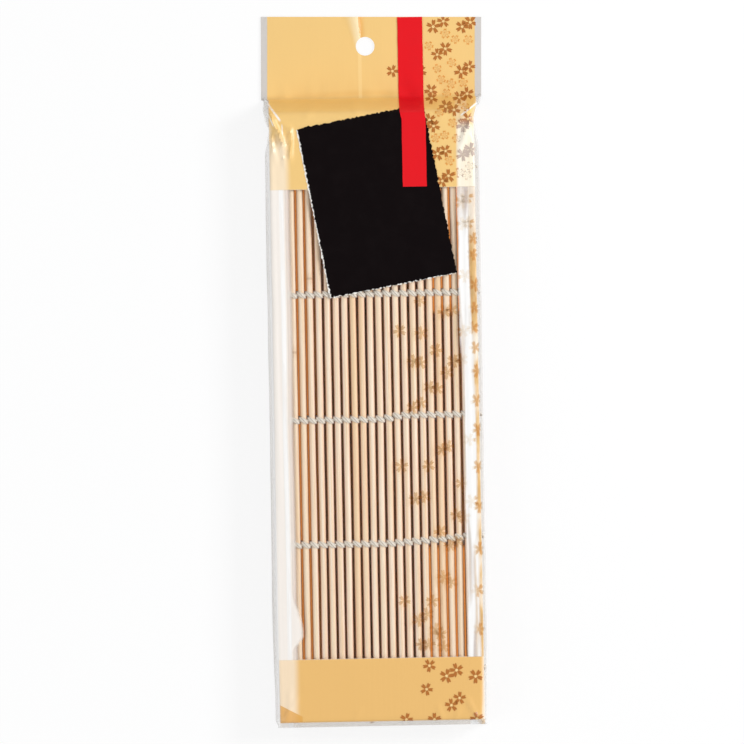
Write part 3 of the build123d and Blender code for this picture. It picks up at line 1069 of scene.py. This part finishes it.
# Printed blossoms: x, y on the bag
SOLID_BLOSSOMS = (
    (25.2, 137.6), (29.3, 139.7), (36.8, 137.4), (40.1, 139.1), (8.5, 120.1), (19.6, 119.8),
    (26.6, 126.4), (29.9, 128.7), (36.1, 119.4), (39.3, 121.3), (35.1, 109.0), (38.3, 110.5),
    (24.0, 108.9), (23.8, 112.0), (29.6, 105.4), (32.8, 103.8), (22.9, 99.9), (24.5, 97.5),
    (38.3, 100.0), (36.3, 97.5), (25.9, 86.3), (29.1, 87.4), (30.1, 77.4), (27.6, 75.4),
    (36.0, 85.8), (39.2, 87.8), (25.5, -122.5), (29.5, -120.2), (37.1, -122.8),
    (17.4, -127.6), (30.5, -131.4), (27.2, -134.2), (18.7, -118.2), (9.1, -139.6),
    (20.3, -139.8), (37.3, -139.9),
)
OUTLINE_BLOSSOMS = (
    (30.0, 134.7), (33.9, 132.4), (39.1, 132.1), (23.3, 130.0), (32.4, 123.1), (26.5, 120.8),
    (28.0, 116.4), (32.0, 114.7), (36.8, 115.0), (30.1, 110.9), (37.4, 104.9), (27.0, 102.9),
    (32.1, 98.6), (30.6, 83.4), (28.9, 93.7), (25.2, 92.6), (33.6, 92.3), (34.3, 78.6),
    (37.4, 77.6), (38.6, 81.2),
)
GOLD_BLOSSOMS = (
    (9.3, 15.8), (18.1, 14.8), (9.1, -38.2), (19.9, -38.4), (14.4, -51.5), (28.0, -30.6),
    (9.2, -92.2), (20.4, -92.4), (28.2, -85.0), (14.7, -99.9), (23.4, -105.7), (15.7, -109.6),
    (17.8, 27.7), (27.3, 23.1), (30.5, 23.7), (14.8, 3.6), (23.8, 7.8), (17.6, 2.9),
    (28.1, -1.2), (30.7, 3.3), (21.0, -6.8), (24.1, -7.5), (17.6, -13.1), (14.1, -15.0),
    (33.9, 3.8), (34.8, 15.3), (18.0, -50.6), (25.5, -32.0), (32.8, -45.6), (30.6, -58.0),
    (33.6, -59.0), (24.2, -64.6), (28.0, -70.4), (31.0, -68.8), (25.2, -82.8), (18.2, -97.6),
    (18.6, -109.8), (24.6, -110.6), (21.6, -103.8), (35.2, 66.8), (35.6, 58.2), (35.9, 37.4),
    (36.4, -28.2), (36.8, -52.8),
    (37.1, 68.8), (37.5, 58.6), (39.6, 52.2), (39.2, 45.8), (39.9, 33.7), (39.4, 24.5),
    (38.6, 16.5), (39.4, 8.6), (40.2, -0.8), (39.6, -12.5), (40.0, -24.0), (39.7, -39.0),
    (39.9, -55.2), (39.6, -71.8), (38.6, -88.4), (38.9, -104.0),
)


def petal_reach(angle):
    """The outline of five notched petals, from 0 to 1."""
    petal = 1 - abs(((angle / tau * 5) % 1) - 0.5) * 2
    side = clamped((petal - 0.14) / 0.52)
    notch = exp(-(((petal - 1) / 0.16) ** 2)) * 0.17
    return 0.24 + 0.76 * side**0.85 - notch


def blossom_prototype(name, radius, rings, finish, line=0.0):
    """A flat blossom of the print, whole, or only a line round its petals."""
    around = 90
    points, shares = [], []
    for ring in rings:
        for step in range(around):
            angle = tau * step / around
            outer = radius * petal_reach(angle)
            reach = max(outer - line * (1 - ring), 0.2) if line else outer * ring
            reach = radius * ring if ring < EYE_RING and not line else reach
            points.append((reach * cos(angle), reach * sin(angle), 0.0))
            shares.append(ring)
    faces = [face[::-1] for face in grid_faces(len(rings), around, closed=True)]
    return piece_from(name, points, faces, finish, ring=shares)


def printed(name, prototype, spots, finish, seed, lift=BLOSSOM_LIFT):
    """Blossoms of one kind, laid on the film."""
    pick = random.Random(seed)
    places = [(x, y, 0, 0, pick.uniform(0, tau), pick.uniform(0.92, 1.06)) for x, y in spots]
    piece = repeated(name, prototype, places, finish)
    for vertex in piece.data.vertices:
        vertex.co.z = (front_height(vertex.co.x / MM, vertex.co.y / MM) + lift) * MM
    return thicken(piece, INK_THICKNESS)


def on_bag(piece, slot, *nodes, flat=True):
    """Rides on the bag and replaces nodes; a flat piece gets a mesh of its own."""
    if nodes:
        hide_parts(*nodes)
    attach(piece, "bag")
    if flat:
        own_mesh(piece)


def build_blossoms():
    """The print's blossoms, in one piece for each kind and each film that carries them."""
    rings, line_rings = (0.02, 0.16, 0.2, 0.45, 0.7, 0.9, 1.0), (0.0, 0.5, 1.0)
    solid = blossom_prototype("solid_blossom", BLOSSOM_RADIUS, rings, BROWN_INK)
    outline = blossom_prototype(
        "outline_blossom", OUTLINE_RADIUS, line_rings, OUTLINE_INK, OUTLINE_WIDTH
    )
    kinds = (
        ("blossoms", solid, SOLID_BLOSSOMS, BROWN_INK),
        ("blossom_outlines", outline, OUTLINE_BLOSSOMS, OUTLINE_INK),
    )
    for seed, (kind, prototype, spots, ink) in enumerate(kinds, 1):
        spots = [spot for spot in spots if spot[1] > BAG_HEAD]
        piece = printed(f"header_{kind}", prototype, spots, ink, seed, HEADER_BLOSSOM_LIFT)
        on_bag(piece, "printed_film", flat=False)
    for seed, (kind, prototype, spots, ink) in enumerate(kinds, 3):
        spots = [spot for spot in spots if spot[1] <= BAG_HEAD]
        on_bag(printed(f"front_{kind}", prototype, spots, ink, seed), "printed_film")
    on_bag(printed("window_blossoms", solid, GOLD_BLOSSOMS, GOLD_INK, 5), "printed_film")
    for prototype in (solid, outline):
        bpy.data.objects.remove(prototype)


def build_bag():
    on_bag(build_front_film(), "clear_film", "front_film")
    on_bag(build_back_film(), "printed_film", "back_film", flat=False)
    on_bag(build_header(), "printed_film", "header", flat=False)
    backing = label_sheet("label_torn_edge", (-0.28, -0.2), 0.14, LABEL_PAPER, 3, 0.5)
    on_bag(backing, "label_paper", "label_backing")
    face = label_sheet("label_black_face", (0.22, 0.06), 0.24, LABEL_BLACK, 7, 0.7)
    on_bag(face, "label_black", "label_face")
    on_bag(build_red_band(), "red_film", "red_band")
    build_blossoms()
    for material_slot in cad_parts["back_seam"].material_slots:
        material_slot.material = SEAM_FILM


build_mat()
build_bag()


# Floor, light and camera
def seen_directly(nodes):
    """1 for rays from the camera and for those that glossy and clear surfaces send on."""
    path = nodes.tree.nodes.new("ShaderNodeLightPath")
    rays = ("Is Camera Ray", "Is Glossy Ray", "Is Transmission Ray")
    return largest(*(Wire(nodes, path.outputs[ray]) for ray in rays))


def build_floor():
    finish = Finish("floor")
    matt = finish.surface(Base_Color=(0.93, 0.93, 0.93, 1), Roughness=0.9, Specular_IOR_Level=0.0)
    white = finish.add("ShaderNodeEmission", None, {"Color": (1, 1, 1, 1), "Strength": 1.0})
    pale = finish.mix(seen_directly(finish) * 0.84, matt, white)
    reach, level = 3000, -0.05
    corners = [(x * reach, y * reach, level) for x, y in ((-1, -1), (1, -1), (1, 1), (-1, 1))]
    floor = piece_from("floor", corners, [(0, 1, 2, 3)], finish.show(pale))


def build_world():
    world = bpy.data.worlds.new("studio")
    world.use_nodes = True
    scene.world = world
    sky = Nodes(world.node_tree)
    world.node_tree.nodes.clear()
    soft = sky.add("ShaderNodeBackground", None, {"Color": (0.97, 0.98, 1.0, 1), "Strength": 0.50})
    white = sky.add("ShaderNodeBackground", None, {"Color": (1, 1, 1, 1), "Strength": 1.0})
    mixed = sky.mix(seen_directly(sky), soft, white)
    output = sky.tree.nodes.new("ShaderNodeOutputWorld")
    sky.tree.links.new(mixed.socket, output.inputs["Surface"])


def placed(name, data, place, rotation):
    holder = bpy.data.objects.new(name, data)
    holder.location = place
    holder.rotation_euler = rotation
    scene.collection.objects.link(holder)
    return holder


def build_studio():
    build_floor()
    build_world()
    for name, place, size, power in (
        ("key", (0.95, 0.3, 0.8), 0.4, 11.0),
        ("fill", (-0.9, -0.4, 0.8), 0.8, 4.0),
    ):
        lamp = bpy.data.lights.new(name, "AREA")
        lamp.size = size
        lamp.energy = power
        placed(name, lamp, place, (-Vector(place)).to_track_quat("-Z", "Y").to_euler())
    camera = bpy.data.cameras.new("camera")
    camera.sensor_width = 36.0
    camera.lens = 603.1
    camera.clip_start = 0.01
    place, turn = (-0.002, -0.0004, 5.0), radians(-1.1)
    scene.camera = placed("camera", camera, place, (0, 0, turn))


build_studio()
scene.view_settings.view_transform = "Standard"
